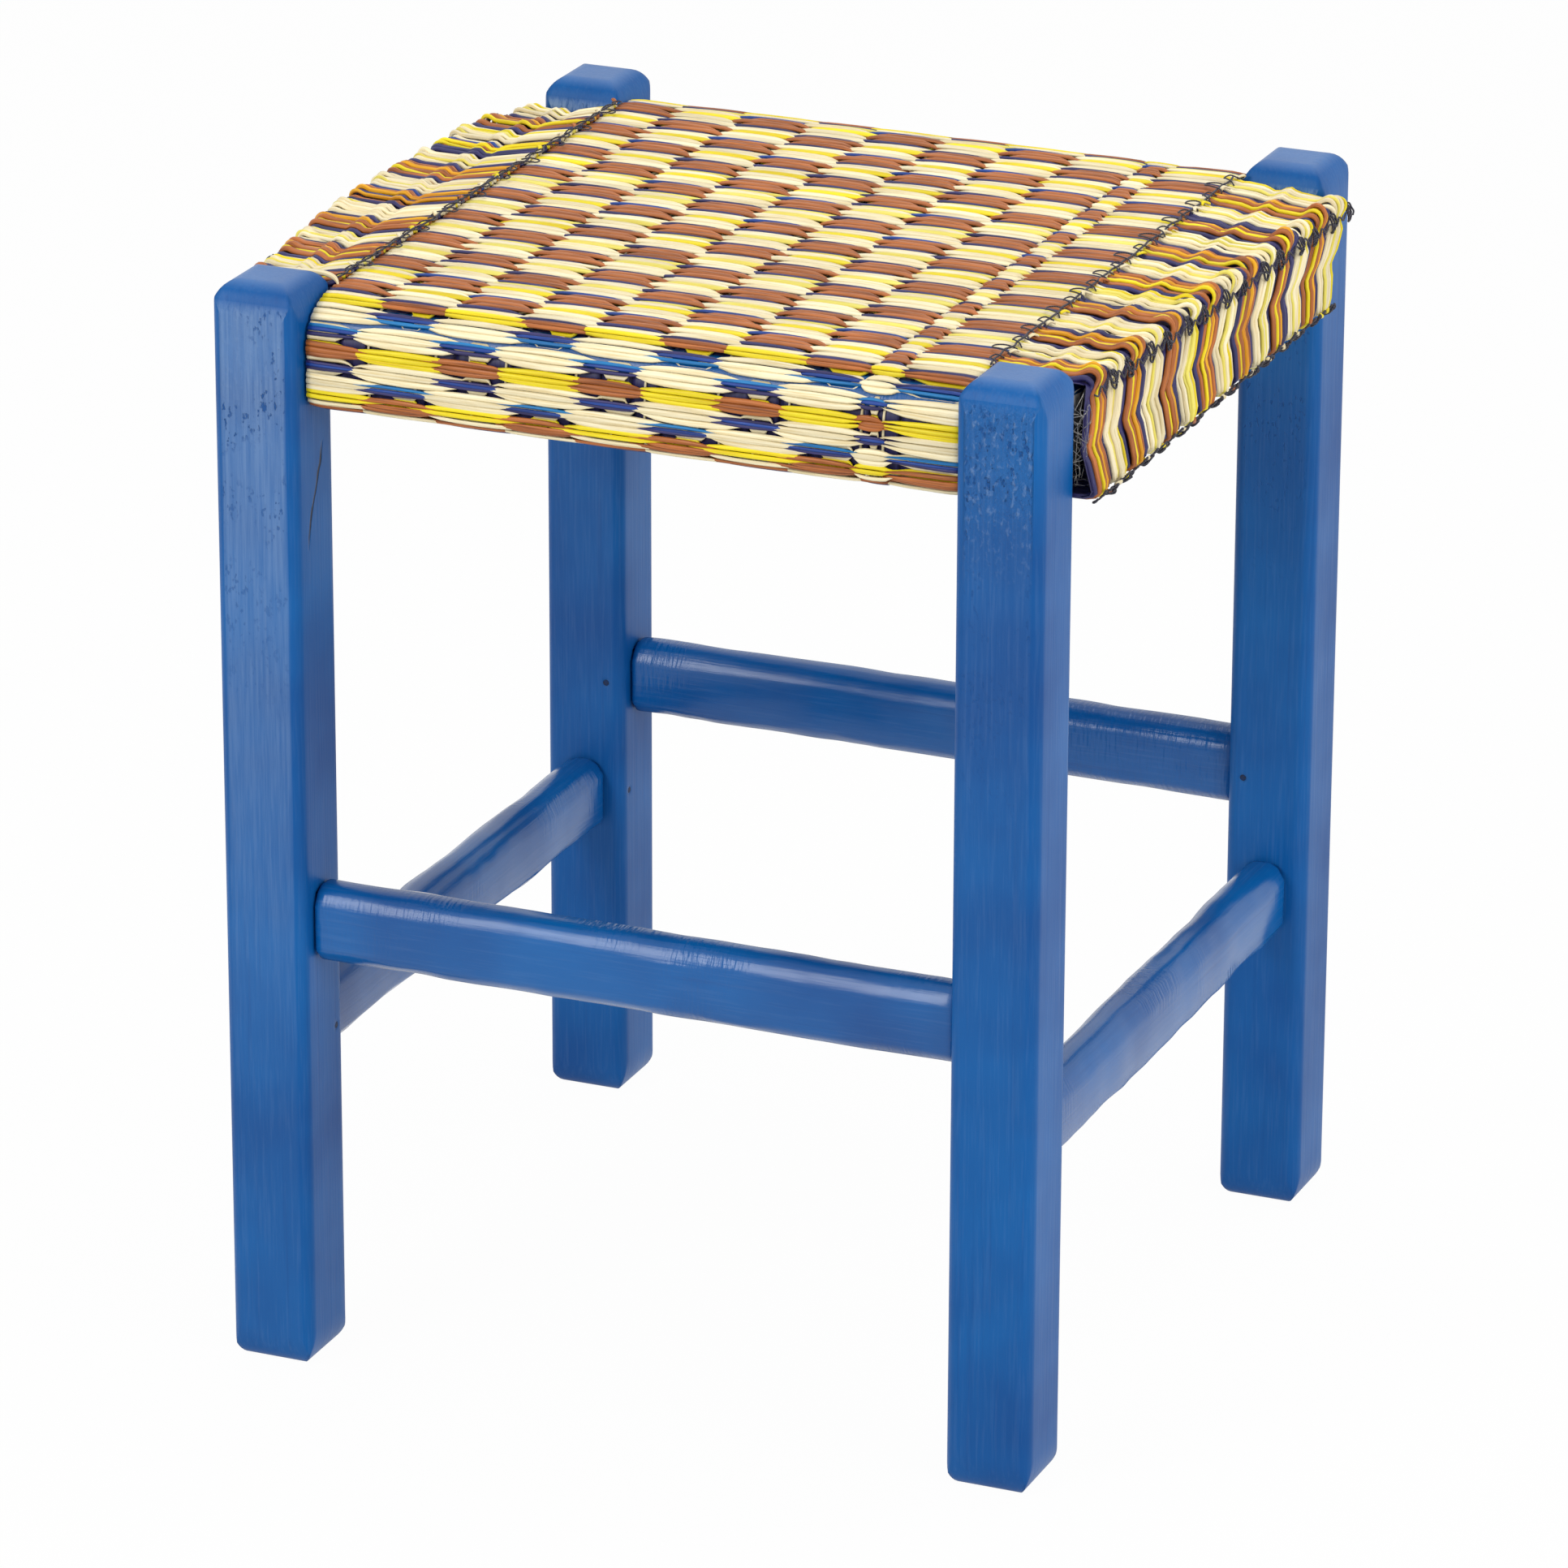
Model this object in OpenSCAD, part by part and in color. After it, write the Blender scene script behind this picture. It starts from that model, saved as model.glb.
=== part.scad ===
// Stool: four square legs, planed stretchers and rounded seat rails in mortise and tenon joints,
// with a woven mat wrapped over the front and back rails and a stitched woven panel round each
// side rail. The origin is on the floor under the middle of the seat. +X is right, +Y is back.

/* [Frame] */
// Width over the legs, left to right
frame_w = 350; // [290:1:450]
// Depth over the legs, front to back
frame_d = 350; // [290:1:450]
// Height of the legs
leg_h = 460; // [360:1:700]

/* [Legs] */
// Side of a square leg
leg_w = 36; // [28:1:45]
// Rounding of the four long edges
leg_edge_r = 5; // [1:0.5:7]
// Rounding round the top end
leg_top_r = 9; // [2:0.5:10]
// Rounding round the foot
leg_foot_r = 6; // [1:0.5:8]

/* [Stretchers] */
// Thickness of a stretcher
stretcher_t = 20; // [15:0.5:24]
// Height of a stretcher
stretcher_h = 32; // [24:0.5:36]
// Height above the floor of the middle of the front and back stretchers
cross_stretcher_z = 192; // [180:0.5:300]
// Height above the floor of the middle of the side stretchers
side_stretcher_z = 141; // [60:0.5:142]
// Width of the flat left along the top by the plane
crown_flat = 6; // [2:0.5:8]
// Width of the shallow facet on each side of that flat
crown_facet_w = 4; // [2:0.5:4.5]
// Fall of the shallow facet
crown_facet_drop = 2.2; // [0.5:0.1:4]
// Height of the steep facet between the shallow one and the side
steep_facet_h = 5.4; // [2:0.1:8]
// Width and height of the facet along each lower edge
lower_facet = 4.5; // [1:0.1:6]
// Rounding of the stretcher's ends where they meet the legs
stretcher_end_r = 2.5; // [0.5:0.1:4]

/* [Seat rails] */
// Thickness of a seat rail
rail_t = 20; // [18.5:0.5:26]
// Height of a seat rail
rail_h = 35; // [28:0.5:40]
// Rounding of the rail's long edges, which the weave wraps round
rail_r = 9; // [3:0.5:9]

/* [Joints] */
// Length of every tenon
tenon_l = 24; // [16:0.5:26]
// Thickness of every tenon
tenon_t = 12; // [8:0.5:13]
// Height of a seat rail's tenon
rail_tenon_h = 11; // [8:0.5:12]
// Shoulder left above and below a stretcher's tenon
stretcher_shoulder = 3.5; // [2:0.5:6]
// Shoulder left beside a seat rail's tenon, on its outer face
rail_shoulder = 2; // [1:0.5:4]
// Clearance round a tenon in its mortise, and at its shoulder
joint_gap = 0.15; // [0.05:0.05:0.4]

/* [Nails] */
// Diameter of a nail's shank
nail_d = 1.6; // [1.2:0.1:2.4]
// Diameter of a nail's head
nail_head_d = 2.6; // [2.5:0.1:4]
// Thickness of a nail's head
nail_head_t = 1; // [0.5:0.1:2]
// Length of a nail with its head
nail_l = 22; // [18:0.5:26]
// Distance of a nail from the shoulder of the joint that it pins
nail_inset = 7.5; // [4:0.5:12]
// Clearance round a nail
nail_gap = 0.1; // [0.05:0.05:0.3]

/* [Woven seat] */
// Depth of the seat's top below the tops of the legs
seat_drop = 5.5; // [5:0.5:25]
// Thickness of the weave
weave_t = 5.5; // [3:0.1:7]
// Distance of the weave's front and back faces inside the outer faces of the legs
weave_setback = 7.2; // [3:0.1:8]
// Distance of the side seams inside the inner faces of the legs
seam_inset = 1; // [1:0.1:20]
// Fall of a side panel from its seam to its outer fold
shoulder_drop = 5.5; // [1:0.1:12]
// Distance of a side panel's outer face outside the legs
side_overhang = 10; // [6:0.5:16]
// Rounding of a side panel's folds
fold_r = 7; // [6:0.1:12]
// Width of the weave left past a rail on the underside
return_w = 3; // [1:0.5:12]
// Clearance between the weave and what it lies on
weave_gap = 0.3; // [0.1:0.1:0.6]
// Rounding of the fibre padding between a side rail and its panel
padding_r = 3; // [1:0.5:4]

/* [Stitching] */
// Length along the seam of one stitch and its return
stitch_pitch = 20; // [10:1:40]
// Width of the band that the stitches cross
stitch_w = 6; // [3:0.5:8]
// Thickness of the thread
thread_t = 1; // [0.5:0.1:1.5]

/* [Hidden] */
$fn = 48;
WOOD = [0.13, 0.36, 0.66];
STEEL = [0.45, 0.47, 0.5];
STRAW = [0.95, 0.87, 0.62];
FIBRE = [0.75, 0.72, 0.66];
THREAD = [0.09, 0.1, 0.2];

// Middles of the legs, and the clear spans between them
leg_x = (frame_w - leg_w) / 2;
leg_y = (frame_d - leg_w) / 2;
span_x = frame_w - 2 * leg_w;
span_y = frame_d - 2 * leg_w;

// Stretchers
stretcher_tenon_h = stretcher_h - 2 * stretcher_shoulder;

// Cross rails, under the mat
seat_z = leg_h - seat_drop;
mat_y = frame_d / 2 - weave_setback;
cross_rail_z = seat_z - weave_t - weave_gap - rail_h / 2;
cross_rail_y = mat_y - weave_t - weave_gap - rail_t / 2;
cross_tenon_y = cross_rail_y + rail_t / 2 - rail_shoulder - tenon_t / 2;
mat_bottom = cross_rail_z - rail_h / 2 - weave_gap - weave_t;
mat_r = rail_r + weave_gap + weave_t;

// Side rails, just under the sloping tops of the side panels
seam_x = span_x / 2 - seam_inset;
fold_x = frame_w / 2 + side_overhang;
shoulder_angle = atan2(shoulder_drop, fold_x - seam_x);
side_arc_x = leg_x + rail_t / 2 - rail_r;
side_arc_z = shoulder_z(side_arc_x) - (weave_t + weave_gap + rail_r) / cos(shoulder_angle);
side_rail_z = side_arc_z + rail_r - rail_h / 2;
hem_z = side_rail_z - rail_h / 2 - weave_gap - weave_t;
panel_l = span_y - 2 * weave_gap;

// The tenons of the cross rails sit high in the legs, and those of the side rails low
rail_tenon_rise = rail_h / 2 - rail_shoulder - rail_tenon_h / 2 - 1;

// Height of a side panel's upper face, between its seam and its fold
function shoulder_z(x) = seat_z - tan(shoulder_angle) * (x - seam_x);

function arc(centre, radius, start, end, steps = 6) =
    [for (i = [0:steps])
        let (a = start + (end - start) * i / steps)
        centre + radius * [cos(a), sin(a)]];

// A zigzag ribbon along the first axis, with whole stitches
function zigzag(length, pitch, across, thickness) =
    let (
        halves = 2 * floor(length / pitch),
        step = length / halves,
        middle = [for (i = [0:halves]) [i * step - length / 2, (i % 2 - 0.5) * (across - thickness)]]
    )
    concat(
        [for (p = middle) p + [0, thickness / 2]],
        [for (i = [halves:-1:0]) middle[i] - [0, thickness / 2]]
    );

module rounded_rect(x0, x1, y0, y1, lower_r, upper_r) {
    middle = (y0 + y1) / 2;
    translate([x0, y0 + lower_r]) square([x1 - x0, y1 - y0 - lower_r - upper_r]);
    translate([x0 + lower_r, y0]) square([x1 - x0 - 2 * lower_r, middle - y0]);
    translate([x0 + upper_r, middle]) square([x1 - x0 - 2 * upper_r, y1 - middle]);
    for (x = [x0 + lower_r, x1 - lower_r]) translate([x, y0 + lower_r]) circle(r = lower_r);
    for (x = [x0 + upper_r, x1 - upper_r]) translate([x, y1 - upper_r]) circle(r = upper_r);
}

// Draws its children, which are made for the back right corner, at another corner
module at_corner(side_x, side_y) {
    mirror([side_x < 0 ? 1 : 0, 0, 0]) mirror([0, side_y < 0 ? 1 : 0, 0]) children();
}

// Turns a shape drawn in XY, and extruded, so that it runs along X and its second axis is up
module along_x(length) {
    rotate([90, 0, 90]) linear_extrude(length, center = true) children();
}

// Turns a shape drawn in XY, and extruded, so that it runs along Y and its second axis is up
module along_y(length) {
    rotate([90, 0, 0]) linear_extrude(length, center = true) children();
}

// A nail that points along +X, with its head's face at the origin
module nail(gap = 0) {
    rotate([0, 90, 0]) {
        cylinder(d = nail_head_d + 2 * gap, h = nail_head_t + gap);
        cylinder(d = nail_d + 2 * gap, h = nail_l + gap);
    }
}

// The two nails at the back right leg, driven through its inner faces
module cross_nail(gap = 0) {
    translate([span_x / 2 + nail_inset, span_y / 2, cross_stretcher_z]) rotate([0, 0, 90]) nail(gap);
}
module side_nail(gap = 0) {
    translate([span_x / 2, span_y / 2 + nail_inset, side_stretcher_z]) nail(gap);
}

// Legs
module leg_blank() {
    intersection() {
        linear_extrude(leg_h)
            rounded_rect(-leg_w / 2, leg_w / 2, -leg_w / 2, leg_w / 2, leg_edge_r, leg_edge_r);
        along_x(leg_w) rounded_rect(-leg_w / 2, leg_w / 2, 0, leg_h, leg_foot_r, leg_top_r);
        along_y(leg_w) rounded_rect(-leg_w / 2, leg_w / 2, 0, leg_h, leg_foot_r, leg_top_r);
    }
}

// A mortise in the inner face that looks along -X, or along -Y when turned
module mortise(height) {
    depth = tenon_l + 2 * joint_gap;
    translate([depth / 2 - joint_gap, 0, 0])
        cube([depth + joint_gap, tenon_t + 2 * joint_gap, height + 2 * joint_gap], center = true);
}

module leg(side_x, side_y) {
    color(WOOD) at_corner(side_x, side_y) difference() {
        translate([leg_x, leg_y, 0]) leg_blank();
        translate([span_x / 2, leg_y, cross_stretcher_z]) mortise(stretcher_tenon_h);
        translate([leg_x, span_y / 2, side_stretcher_z]) rotate([0, 0, 90]) mortise(stretcher_tenon_h);
        translate([span_x / 2, cross_tenon_y, cross_rail_z + rail_tenon_rise]) mortise(rail_tenon_h);
        translate([leg_x, span_y / 2, side_rail_z - rail_tenon_rise])
            rotate([0, 0, 90]) mortise(rail_tenon_h);
        cross_nail(nail_gap);
        side_nail(nail_gap);
    }
}

// Stretchers
module stretcher_profile() {
    top = stretcher_h / 2;
    side = stretcher_t / 2;
    right = [
        [side - lower_facet, -top],
        [side, lower_facet - top],
        [side, top - crown_facet_drop - steep_facet_h],
        [crown_flat / 2 + crown_facet_w, top - crown_facet_drop],
        [crown_flat / 2, top]
    ];
    polygon(concat(right, [for (i = [len(right) - 1:-1:0]) [-right[i][0], right[i][1]]]));
}

// A stretcher along X across a clear span, with its middle at the origin
module stretcher(span) {
    length = span - 2 * joint_gap;
    end_r = stretcher_end_r;
    intersection() {
        along_x(length) stretcher_profile();
        along_y(stretcher_t)
            rounded_rect(-length / 2, length / 2, -stretcher_h / 2, stretcher_h / 2, end_r, end_r);
        translate([0, 0, -stretcher_h / 2]) linear_extrude(stretcher_h)
            rounded_rect(-length / 2, length / 2, -stretcher_t / 2, stretcher_t / 2, end_r, end_r);
    }
    cube([span + 2 * tenon_l, tenon_t, stretcher_tenon_h], center = true);
}

module cross_stretcher(side_y) {
    color(WOOD) difference() {
        translate([0, side_y * leg_y, cross_stretcher_z]) stretcher(span_x);
        for (side_x = [-1, 1]) at_corner(side_x, side_y) cross_nail(nail_gap);
    }
}

module side_stretcher(side_x) {
    color(WOOD) difference() {
        translate([side_x * leg_x, 0, side_stretcher_z]) rotate([0, 0, 90]) stretcher(span_y);
        for (side_y = [-1, 1]) at_corner(side_x, side_y) side_nail(nail_gap);
    }
}

module cross_stretcher_nails() {
    color(STEEL) for (side_x = [-1, 1], side_y = [-1, 1]) at_corner(side_x, side_y) cross_nail();
}

module side_stretcher_nails() {
    color(STEEL) for (side_x = [-1, 1], side_y = [-1, 1]) at_corner(side_x, side_y) side_nail();
}

// Seat rails
module rail_profile() {
    rounded_rect(-rail_t / 2, rail_t / 2, -rail_h / 2, rail_h / 2, rail_r, rail_r);
}

module cross_rail(side_y) {
    tenon_y = cross_tenon_y - cross_rail_y;
    color(WOOD) at_corner(1, side_y) translate([0, cross_rail_y, cross_rail_z]) {
        along_x(span_x - 2 * joint_gap) rail_profile();
        translate([0, tenon_y, rail_tenon_rise])
            cube([span_x + 2 * tenon_l, tenon_t, rail_tenon_h], center = true);
    }
}

module side_rail(side_x) {
    color(WOOD) translate([side_x * leg_x, 0, side_rail_z]) {
        along_y(span_y - 2 * joint_gap) rail_profile();
        translate([0, 0, -rail_tenon_rise])
            cube([tenon_t, span_y + 2 * tenon_l, rail_tenon_h], center = true);
    }
}

// The mat between the side seams. It folds over the front and back rails and ends under them.
module woven_mat() {
    return_y = cross_rail_y - rail_t / 2 - return_w;
    inner_r = mat_r - weave_t;
    color(STRAW) along_x(2 * (seam_x - weave_gap / 2)) difference() {
        rounded_rect(-mat_y, mat_y, mat_bottom, seat_z, mat_r, mat_r);
        rounded_rect(weave_t - mat_y, mat_y - weave_t, mat_bottom + weave_t, seat_z - weave_t,
            inner_r, inner_r);
        translate([-return_y, mat_bottom - weave_t]) square([2 * return_y, 3 * weave_t]);
    }
}

// The panel round a side rail: a sloping shoulder, an upright flap and a return under the rail
module side_profile() {
    seam = seam_x + weave_gap / 2;
    fold_arc_x = fold_x - fold_r;
    upper = [fold_arc_x, shoulder_z(fold_arc_x) - fold_r / cos(shoulder_angle)];
    lower = [fold_arc_x, hem_z + fold_r];
    return_x = leg_x - rail_t / 2 - return_w;
    inner_r = fold_r - weave_t;
    polygon(concat(
        [[seam, shoulder_z(seam)]],
        arc(upper, fold_r, 90 - shoulder_angle, 0),
        arc(lower, fold_r, 0, -90),
        [[return_x, hem_z], [return_x, hem_z + weave_t]],
        arc(lower, inner_r, -90, 0),
        arc(upper, inner_r, 0, 90 - shoulder_angle),
        [[seam, shoulder_z(seam) - weave_t / cos(shoulder_angle)]]
    ));
}

module woven_side(side_x) {
    color(STRAW) at_corner(side_x, 1) along_y(panel_l) side_profile();
}

// Fibre padding that fills the panel out past the rail
module edge_padding(side_x) {
    x0 = leg_x + rail_t / 2 + weave_gap;
    x1 = fold_x - weave_t - weave_gap;
    z0 = hem_z + weave_t + weave_gap;
    z1 = shoulder_z(x1) - (weave_t + weave_gap) / cos(shoulder_angle);
    color(FIBRE) at_corner(side_x, 1) along_y(panel_l) rounded_rect(x0, x1, z0, z1, padding_r, padding_r);
}

// Stitches that cross the seam between the mat and a side panel, lying on the mat
module seam_stitches(side_x) {
    color(THREAD) at_corner(side_x, 1) translate([seam_x, 0, seat_z + nail_gap])
        linear_extrude(thread_t) rotate([0, 0, 90])
            polygon(zigzag(panel_l, stitch_pitch, stitch_w, thread_t));
}

// Stitches down the outer face of a side panel, with their middle at a given height
module face_stitches(side_x, height) {
    color(THREAD) at_corner(side_x, 1) translate([fold_x + nail_gap + thread_t / 2, 0, height])
        along_x(thread_t) polygon(zigzag(panel_l, stitch_pitch, stitch_w, thread_t));
}

module fold_stitches(side_x) {
    face_stitches(side_x, shoulder_z(fold_x) - fold_r - stitch_w / 2);
}

module hem_stitches(side_x) {
    face_stitches(side_x, hem_z + fold_r + stitch_w / 2);
}

leg(-1, -1);  // leg_front_left
leg(1, -1);  // leg_front_right
leg(-1, 1);  // leg_back_left
leg(1, 1);  // leg_back_right
cross_stretcher(-1);  // stretcher_front
cross_stretcher(1);  // stretcher_back
side_stretcher(-1);  // stretcher_left
side_stretcher(1);  // stretcher_right
cross_rail(-1);  // seat_rail_front
cross_rail(1);  // seat_rail_back
side_rail(-1);  // seat_rail_left
side_rail(1);  // seat_rail_right
cross_stretcher_nails();
side_stretcher_nails();
woven_mat();
woven_side(-1);  // woven_side_left
woven_side(1);  // woven_side_right
edge_padding(-1);  // edge_padding_left
edge_padding(1);  // edge_padding_right
seam_stitches(-1);  // seam_stitches_left
seam_stitches(1);  // seam_stitches_right
fold_stitches(-1);  // fold_stitches_left
fold_stitches(1);  // fold_stitches_right
hem_stitches(-1);  // hem_stitches_left
hem_stitches(1);  // hem_stitches_right
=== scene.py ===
"""The looks of a blue-painted stool with a woven straw seat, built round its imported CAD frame."""

import math

import bpy
import bmesh
import numpy as np
from mathutils import Euler, Matrix, Vector


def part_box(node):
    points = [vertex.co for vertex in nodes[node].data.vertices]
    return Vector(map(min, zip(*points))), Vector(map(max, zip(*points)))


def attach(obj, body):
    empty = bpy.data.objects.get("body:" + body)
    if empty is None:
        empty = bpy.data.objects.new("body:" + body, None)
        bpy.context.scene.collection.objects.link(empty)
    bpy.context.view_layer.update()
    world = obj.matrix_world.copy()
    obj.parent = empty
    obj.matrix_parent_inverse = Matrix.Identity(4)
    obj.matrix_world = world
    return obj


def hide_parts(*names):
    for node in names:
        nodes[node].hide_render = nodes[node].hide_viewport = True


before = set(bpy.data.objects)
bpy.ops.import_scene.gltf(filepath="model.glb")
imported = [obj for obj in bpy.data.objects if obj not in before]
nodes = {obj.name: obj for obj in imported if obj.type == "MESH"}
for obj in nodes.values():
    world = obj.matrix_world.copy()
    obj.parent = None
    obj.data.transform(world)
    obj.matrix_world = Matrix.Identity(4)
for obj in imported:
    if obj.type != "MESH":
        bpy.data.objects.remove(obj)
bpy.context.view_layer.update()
rng = np.random.default_rng(29)

MM = 0.001
UP = np.array([0.0, 0.0, 1.0])
HANDS = {1: "right", -1: "left"}

# ---- places read from the frame

MAT_LOW, MAT_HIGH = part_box("woven_mat")
SIDE_LOW, SIDE_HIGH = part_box("woven_side_right")
LEG_LOW, LEG_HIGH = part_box("leg_back_right")
SEAT_Z = MAT_HIGH.z
SEAM_X = MAT_HIGH.x
LEG_INNER = LEG_LOW.x
LEG_OUTER = LEG_HIGH.x
LEG_TOP = LEG_HIGH.z

# ---- colours


def srgb(red, green, blue):
    """A colour given as it looks on screen, from 0 to 255, as the linear colour that a shader takes."""
    values = [c / 255 for c in (red, green, blue)]
    return tuple(c / 12.92 if c <= 0.04045 else ((c + 0.055) / 1.055) ** 2.4 for c in values) + (1,)


WHITE = (1, 1, 1, 1)
PAINT = srgb(7, 94, 165)
# the deeper blue of the paint's patches, pores and pits, also used for painted shade next to the seat
PAINT_DEEP_AND_SHADE = srgb(5, 72, 139)
# the pale of chalky brush strokes, also used for the painted sheen and painted highlights on the paint
PAINT_CHALK_AND_SHEEN = srgb(150, 176, 210)
CRACK = srgb(6, 22, 52)

# Each straw's main colour and the deeper one of its streaks, as they look on screen
STRAWS = {
    "cream": ((252, 240, 202), (228, 204, 146)),
    "yellow": ((250, 230, 24), (226, 192, 16)),
    "pale_yellow": ((243, 231, 110), (228, 202, 78)),
    "orange": ((240, 176, 16), (196, 112, 16)),
    "brown": ((188, 108, 48), (104, 54, 28)),
    "navy": ((50, 46, 104), (22, 22, 58)),
    "blue": ((18, 68, 156), (10, 34, 96)),
    "light_blue": ((22, 128, 194), (12, 78, 144)),
}
SLOTS = {name: number for number, name in enumerate(STRAWS)}

# ---- materials


def put(tree, socket, value):
    """Gives an input a value, or links it to another node's output."""
    if isinstance(value, bpy.types.NodeSocket):
        tree.links.new(value, socket)
    else:
        socket.default_value = value


def add_node(tree, kind, inputs, output=0, **settings):
    """Adds a node to a tree, with its inputs and settings, and returns one of its outputs."""
    node = tree.nodes.new(kind)
    for key, value in settings.items():
        setattr(node, key, value)
    for key, value in inputs.items():
        put(tree, node.inputs[key], value)
    return node.outputs[output] if node.outputs else None


class Shader:
    """A material whose nodes are added one call at a time."""

    def __init__(self, name, **values):
        self.material = bpy.data.materials.new(name)
        self.material.use_nodes = True
        self.tree = self.material.node_tree
        self.surface = self.tree.nodes["Principled BSDF"]
        self.finish(**values)

    def add(self, kind, inputs, output=0, **settings):
        return add_node(self.tree, "ShaderNode" + kind, inputs, output, **settings)

    def noise(self, vector, scale, detail=2.0, roughness=0.5):
        """Noise at one scale, or at a scale for each axis."""
        if not isinstance(scale, float):
            vector, scale = self.stretched(vector, scale), 1.0
        inputs = {"Vector": vector, "Scale": scale, "Detail": detail, "Roughness": roughness}
        return self.add("TexNoise", inputs)

    def stretched(self, vector, scales):
        return self.add("VectorMath", {0: vector, 1: scales}, operation="MULTIPLY")

    def part(self, vector, axis):
        return self.add("SeparateXYZ", {0: vector}, output=axis)

    def mix(self, factor, first, second, blend="MIX"):
        inputs = {0: factor, 6: first, 7: second}
        return self.add("Mix", inputs, output=2, data_type="RGBA", blend_type=blend)

    def spread(self, value, low, high, to_low=0.0, to_high=1.0):
        inputs = {0: value, 1: low, 2: high, 3: to_low, 4: to_high}
        return self.add("MapRange", inputs, clamp=True)

    def math(self, operation, first, second=0.5):
        return self.add("Math", {0: first, 1: second}, operation=operation)

    def product(self, *values):
        total = values[0]
        for value in values[1:]:
            total = self.math("MULTIPLY", total, value)
        return total

    def bump(self, height, distance, strength=1.0, normal=None):
        inputs = {"Height": height, "Distance": distance, "Strength": strength}
        if normal is not None:
            inputs["Normal"] = normal
        return self.add("Bump", inputs)

    def finish(self, **values):
        for key, value in values.items():
            put(self.tree, self.surface.inputs[key.replace("_", " ")], value)
        return self.material


EASED_R = 3 * MM  # how softly the paint rounds the wood's creases
PIT_DEPTH, CRINKLE, RIPPLE = 0.3 * MM, 2.3 * MM, 0.5 * MM
CRACK_LOW, CRACK_HIGH = SEAT_Z - 103 * MM, SEAT_Z - 62 * MM
CRACK_HALF_WIDTH, CRACK_DEPTH = 0.5 * MM, 0.8 * MM


def painted_wood(name, axis, rough=(0.32, 0.48), shine=0.2, painted_sheen=0.0, wrinkle=0.0, band=0.0,
                 chatter=0.0, crack=False):
    """Brushed blue paint over planed wood whose grain runs along an axis: 0, 1 or 2. On the faces that
    look forward, haze is a painted sheen, a pale veil standing in for the light's gloss on the paint;
    any haze also adds the paint's pits and a painted sheen on the faces that look up. Wrinkle is
    crinkled paint near the top with painted highlights on its ridges, and band is painted shade there
    next to the seat under a painted highlight where the front rounds over. Chatter is the plane's
    ripples across the grain."""
    shader = Shader(name, IOR=1.5, Specular_IOR_Level=shine)
    noise, spread, product, mix, bump = (
        shader.noise, shader.spread, shader.product, shader.mix, shader.bump,
    )
    coordinates = shader.tree.nodes.new("ShaderNodeTexCoord")
    place, normal = coordinates.outputs["Object"], coordinates.outputs["Normal"]
    height, up = shader.part(place, 2), shader.part(normal, 2)
    front = product(shader.part(normal, 1), -1.0)
    flat = spread(front, 0.94, 0.995)
    fine, strokes, ripples = [420.0] * 3, [900.0] * 3, [90.0] * 3
    fine[axis], strokes[axis], ripples[axis] = 9.0, 34.0, 700.0
    grain = noise(place, fine, 4.0, 0.6)
    brush = noise(place, strokes, 3.0, 0.6)
    patches = noise(place, 13.0, 3.0)
    pores = spread(grain, 0.30, 0.44, 1.0, 0.0)
    colour = mix(spread(patches, 0.35, 0.7), PAINT, PAINT_DEEP_AND_SHADE)
    colour = mix(product(pores, 0.4), colour, PAINT_DEEP_AND_SHADE)
    colour = mix(spread(brush, 0.5, 0.75, 0.0, 0.05), colour, PAINT_CHALK_AND_SHEEN)
    # painted sheen: the faces that look up are drawn paler, as lit from above
    colour = mix(spread(up, 0.6, 0.95, 0.0, 0.22 * bool(painted_sheen)), colour, PAINT_CHALK_AND_SHEEN)
    eased = shader.add("Bevel", {"Radius": EASED_R}, samples=6)
    relief = bump(grain, 0.25 * MM, 0.5, eased)
    relief = bump(brush, 0.12 * MM, 0.5, relief)
    if painted_sheen:
        # painted sheen: a pale veil over the faces that look forward, strongest near the top
        sheen_mask = spread(height, 0.12, LEG_TOP - 0.03, 0.08, 1.0)
        sheen_mask = product(sheen_mask, spread(brush, 0.3, 0.62, 0.55, 1.0), flat, painted_sheen)
        colour = mix(sheen_mask, colour, PAINT_CHALK_AND_SHEEN)
        pits = noise(place, (620.0, 620.0, 330.0))
        worn = noise(place, 42.0)
        pits = product(
            spread(pits, 0.34, 0.41, 1.0, 0.0), spread(worn, 0.40, 0.55), flat,
            spread(height, 0.27, 0.40),
        )
        colour = mix(product(pits, 0.85), colour, PAINT_DEEP_AND_SHADE)
        relief = bump(pits, -PIT_DEPTH, 1.0, relief)
    if wrinkle:
        crinkles = noise(place, (480.0, 480.0, 260.0), 3.0, 0.6)
        pressed = product(flat, spread(height, LEG_TOP - 0.085, LEG_TOP - 0.04), wrinkle)
        relief = bump(product(crinkles, pressed), CRINKLE, 1.0, relief)
        # painted highlight: the crinkles' ridges are drawn paler
        light = product(spread(crinkles, 0.54, 0.70), pressed, 0.32)
        colour = mix(light, colour, PAINT_CHALK_AND_SHEEN)
    if band:
        # painted highlight: a pale line where the front face starts to round over to the top
        edge = product(
            spread(up, 0.02, 0.10), spread(up, 0.34, 0.16, 0.0, 1.0),
            spread(front, 0.8, 0.95), spread(brush, 0.35, 0.6, 0.3, 1.0), 0.6,
        )
        colour = mix(edge, colour, PAINT_CHALK_AND_SHEEN)
        # painted shade: a deeper blue band across the front face next to the seat
        deep = product(spread(up, 0.06, 0.02, 0.0, 1.0), flat, band)
        deep = product(deep, spread(height, LEG_TOP - 0.03, LEG_TOP - 0.018))
        colour = mix(deep, colour, PAINT_DEEP_AND_SHADE)
    if chatter:
        marks = noise(place, ripples, 1.0)
        where = spread(noise(place, 17.0, 1.0), 0.48, 0.6)
        relief = bump(product(marks, where), RIPPLE, chatter, relief)
    if crack:
        colour, relief = cracked(shader, place, normal, height, colour, relief)
    gloss = spread(shader.math("ADD", patches, brush), 0.7, 1.3, *rough)
    return shader.finish(Base_Color=colour, Roughness=gloss, Normal=relief)


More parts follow.
